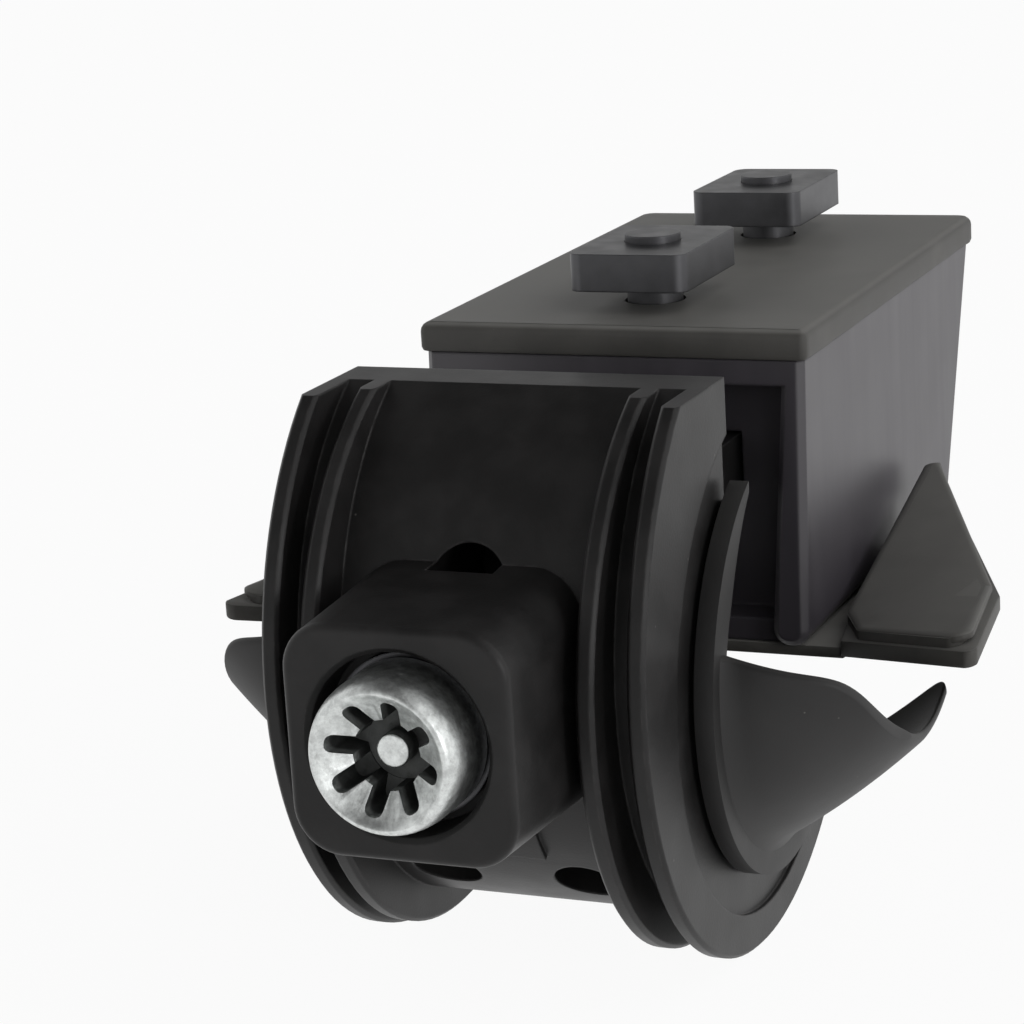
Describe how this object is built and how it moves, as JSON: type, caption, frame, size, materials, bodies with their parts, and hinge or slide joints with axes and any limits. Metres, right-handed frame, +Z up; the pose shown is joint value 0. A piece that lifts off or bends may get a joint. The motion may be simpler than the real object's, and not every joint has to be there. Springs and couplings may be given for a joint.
{
  "type": "roof bar foot",
  "caption": "Clamp foot that joins a roof bar to a raised roof rail: a round-flanged hook with a rubber liner is drawn to a padded support by a security bolt.",
  "frame": {"origin": "middle of the gasket's upper face, the seat that meets the bar's underside", "axes": "+Z up out of the seat, +Y inwards along the bar, +X along the roof rail"},
  "size_m": [0.0822, 0.1305, 0.0678],
  "materials": {
    "claw_plastic": "satin, fine grain",
    "support_plastic": "smooth satin",
    "rubber": "matt",
    "bolt_steel": "zinc plated",
    "fixing_steel": "black zinc plated"
  },
  "bodies": {
    "support": {"support_body": "support_plastic", "jaw_pad": "rubber", "bar_gasket": "rubber", "clamp_nut": "fixing_steel", "bar_screws": "fixing_steel", "bar_washers": "fixing_steel", "channel_nuts": "fixing_steel"},
    "claw": {"outer_claw": "claw_plastic", "claw_liner": "rubber", "bolt_washer": "bolt_steel"},
    "bolt": {"clamp_bolt": "bolt_steel", "bolt_retainer": "bolt_steel"}
  },
  "joints": [
    {"name": "claw_slide", "type": "slide", "parent": "support", "child": "claw", "axis": [0, -1, 0], "range_m": [0, 0.016]},
    {"name": "bolt_turn", "type": "hinge", "parent": "claw", "child": "bolt", "pos_m": [0, -0.086, -0.0263], "axis": [0, -1, 0], "range_deg": [0, 5762]}
  ],
  "couplings": [
    {"joint": "bolt_turn", "follows": "claw_slide", "rad_per_m": 6283.2}
  ]
}
